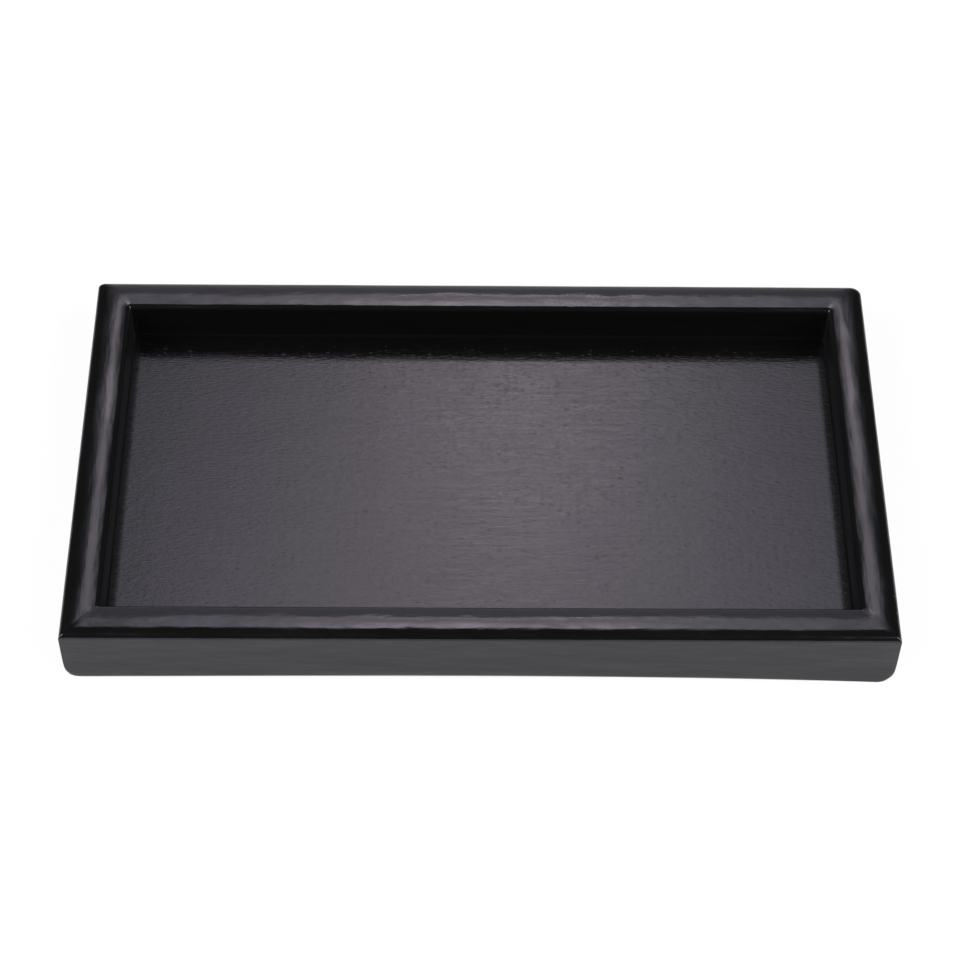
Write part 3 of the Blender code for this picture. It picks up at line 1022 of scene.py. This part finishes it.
def add_fill(context, stage, side):
    """A square soft lamp in front of the tray, on one side of the camera."""
    lamp = bpy.data.lights.new("fill_lamp", "AREA")
    lamp.size = FILL_SIZE
    lamp.energy = FILL_SIZE * FILL_SIZE * pi * stage.fill_level
    hung = add_object(context, "fill_lamp", lamp)
    hung.location = (side * FILL_PLACE[0], *FILL_PLACE[1:])
    hung.rotation_euler = Vector(hung.location).to_track_quat("Z", "Y").to_euler()
    hung.visible_camera = False


def over_heights(tree, elevation, heights, values=(0.0, 1.0)):
    """A value run from one height over the horizon to another, both in degrees."""
    return remap(tree, elevation, radians(heights[0]), radians(heights[1]), *values)


def ray_place(tree):
    """Height of a ray over the horizon behind the tray, and its slope to the side."""
    direction = put(tree, "TexCoord").outputs["Generated"]
    parts = put(tree, "SeparateXYZ", {0: direction})
    upright = put(tree, "CombineXYZ", {1: parts.outputs[1], 2: parts.outputs[2]}).outputs[0]
    reach = put(tree, "VectorMath", {0: upright}, operation="LENGTH").outputs["Value"]
    elevation = calc(tree, "ARCTAN2", parts.outputs[2], parts.outputs[1])
    return elevation, calc(tree, "DIVIDE", parts.outputs[0], reach)


def off_middle(tree, elevation, sideways, heights, places):
    """How far to the side a ray goes from a middle that leans with the height."""
    middle = over_heights(tree, elevation, heights, places)
    return calc(tree, "ABSOLUTE", calc(tree, "SUBTRACT", sideways, middle))


def box_share(tree, stage, elevation, sideways, off_box):
    """Share of the soft box's level at each place across it."""
    width = over_heights(tree, elevation, BOX_SPREAD_HEIGHTS,
                         (stage.lamp_spread * BOX_FOOT_SPREAD_SHARE, stage.lamp_spread))
    peaked = calc(tree, "SUBTRACT", 1.0, calc(tree, "DIVIDE", off_box, width))
    dimmed = calc(tree, "MINIMUM", peaked, BOX_PEAK_SHARE)
    left_end = remap(tree, sideways, *BOX_LEFT_END)
    return product(tree, calc(tree, "MAXIMUM", 0.0, dimmed), left_end)


def core_level(tree, stage, elevation, lower, upper):
    """Brightness of the soft box's core at each height."""
    high = product(tree, over_heights(tree, elevation, HIGH_CORE_HEIGHTS), upper)
    low = product(tree, lower, over_heights(tree, elevation, LOW_CORE_HEIGHTS))
    low_core = product(tree, low, stage.lamp_low_core)
    return calc(tree, "MULTIPLY_ADD", high, stage.lamp_core, low_core)


def backdrop_level(tree, stage, elevation, sideways, lower):
    """Brightness of the backdrop, which hangs between the table and the soft box."""
    over_table = over_heights(tree, elevation, BACKDROP_FOOT)
    under_box = product(tree, calc(tree, "SUBTRACT", 1.0, lower), over_table)
    narrow = remap(tree, calc(tree, "ABSOLUTE", sideways), BACKDROP_SPREAD, 0.0)
    return product(tree, under_box, narrow, stage.backdrop_level)


def studio_light(tree, stage):
    """Brightness and tint of the light behind the tray, from the direction of a ray.

    The light is a soft box over a pale backdrop. Both span a band of heights over the horizon
    behind the tray, and dim towards the sides.
    """
    elevation, sideways = ray_place(tree)
    lower = over_heights(tree, elevation, BOX_FOOT)
    upper = over_heights(tree, elevation, BOX_TOP)
    off_box = off_middle(tree, elevation, sideways, BOX_MIDDLE_HEIGHTS, BOX_MIDDLE_PLACES)
    off_core = off_middle(tree, elevation, sideways, CORE_MIDDLE_HEIGHTS, CORE_MIDDLE_PLACES)
    across = box_share(tree, stage, elevation, sideways, off_box)
    within = product(tree, lower, upper)
    broad = product(tree, across, within, stage.lamp_level)
    core_share = remap(tree, off_core, CORE_SPREAD, 0.0)
    core = core_level(tree, stage, elevation, lower, upper)
    box = calc(tree, "MULTIPLY_ADD", core_share, core, broad)
    backdrop = backdrop_level(tree, stage, elevation, sideways, lower)
    level = calc(tree, "ADD", calc(tree, "ADD", box, backdrop), stage.room_level)
    warm = product(tree, remap(tree, off_box, WARM_SPREAD, 0.0), lower)
    return level, mix_colours(tree, warm, COOL_TINT, WARM_TINT)


def set_world(context, stage):
    """White to the camera, and to all else a soft box over a backdrop in a dim room."""
    world = bpy.data.worlds.new("studio")
    world.use_nodes = True
    context.scene.world = world
    tree = world.node_tree
    level, tint = studio_light(tree, stage)
    ray = put(tree, "LightPath").outputs["Is Camera Ray"]
    strength = put(tree, "Mix", {0: ray, 2: level, 3: 1.0}, data_type="FLOAT").outputs[0]
    colour = mix_colours(tree, ray, tint, WHITE)
    tree.links.new(strength, tree.nodes["Background"].inputs["Strength"])
    tree.links.new(colour, tree.nodes["Background"].inputs["Color"])


def add_camera(context, stage):
    """The camera at the viewing angle of the photograph."""
    camera = bpy.data.cameras.new("camera")
    camera.sensor_width = SENSOR_WIDTH
    camera.lens = stage.lens
    held = add_object(context, "camera", camera)
    held.matrix_world = (Matrix.Translation(stage.camera_place)
                         @ Matrix.Rotation(stage.camera_yaw, 4, "Z")
                         @ Matrix.Rotation(pi / 2 - stage.camera_pitch, 4, "X")
                         @ Matrix.Rotation(stage.camera_roll, 4, "Z"))
    context.scene.camera = held


class TRAY_OT_stage(bpy.types.Operator):
    """Sets the table, the lamps, the soft box with its backdrop, and the camera"""

    bl_idname = "tray.stage"
    bl_label = "Set the Stage"

    def execute(self, context):
        stage = context.scene.tray_stage
        add_table(context)
        for side in (-1, 1):
            add_fill(context, stage, side)
        set_world(context, stage)
        add_camera(context, stage)
        context.scene.view_settings.view_transform = "Standard"
        return {"FINISHED"}


class TRAY_PT_panel(bpy.types.Panel):
    """Lists the steps and the settings of the tray"""

    bl_idname = "TRAY_PT_panel"
    bl_label = "Tea Tray"
    bl_space_type = "VIEW_3D"
    bl_region_type = "UI"
    bl_category = "Tea Tray"

    def draw(self, context):
        for step, settings in STEPS:
            box = self.layout.box()
            box.operator(step.bl_idname)
            values = getattr(context.scene, settings)
            for name in values.__annotations__:
                box.prop(values, name)


STEPS = (
    (TRAY_OT_stage, "tray_stage"),
    (TRAY_OT_rails, "tray_rim"),
    (TRAY_OT_floor, "tray_floor"),
    (TRAY_OT_splines, "tray_splines"),
)
SETTINGS = (
    ("tray_rim", RimSettings),
    ("tray_floor", FloorSettings),
    ("tray_splines", SplineSettings),
    ("tray_stage", StageSettings),
)


def register():
    """Registers the settings, the steps and the panel."""
    for name, settings in SETTINGS:
        bpy.utils.register_class(settings)
        setattr(bpy.types.Scene, name, bpy.props.PointerProperty(type=settings))
    for step, _ in STEPS:
        bpy.utils.register_class(step)
    bpy.utils.register_class(TRAY_PT_panel)


def unregister():
    """Takes away what register added."""
    bpy.utils.unregister_class(TRAY_PT_panel)
    for step, _ in reversed(STEPS):
        bpy.utils.unregister_class(step)
    for name, settings in reversed(SETTINGS):
        delattr(bpy.types.Scene, name)
        bpy.utils.unregister_class(settings)


def main():
    """Runs every step in order."""
    register()
    bpy.ops.tray.stage()
    bpy.ops.tray.rails()
    bpy.ops.tray.floor()
    bpy.ops.tray.splines()


if __name__ == "__main__":
    main()
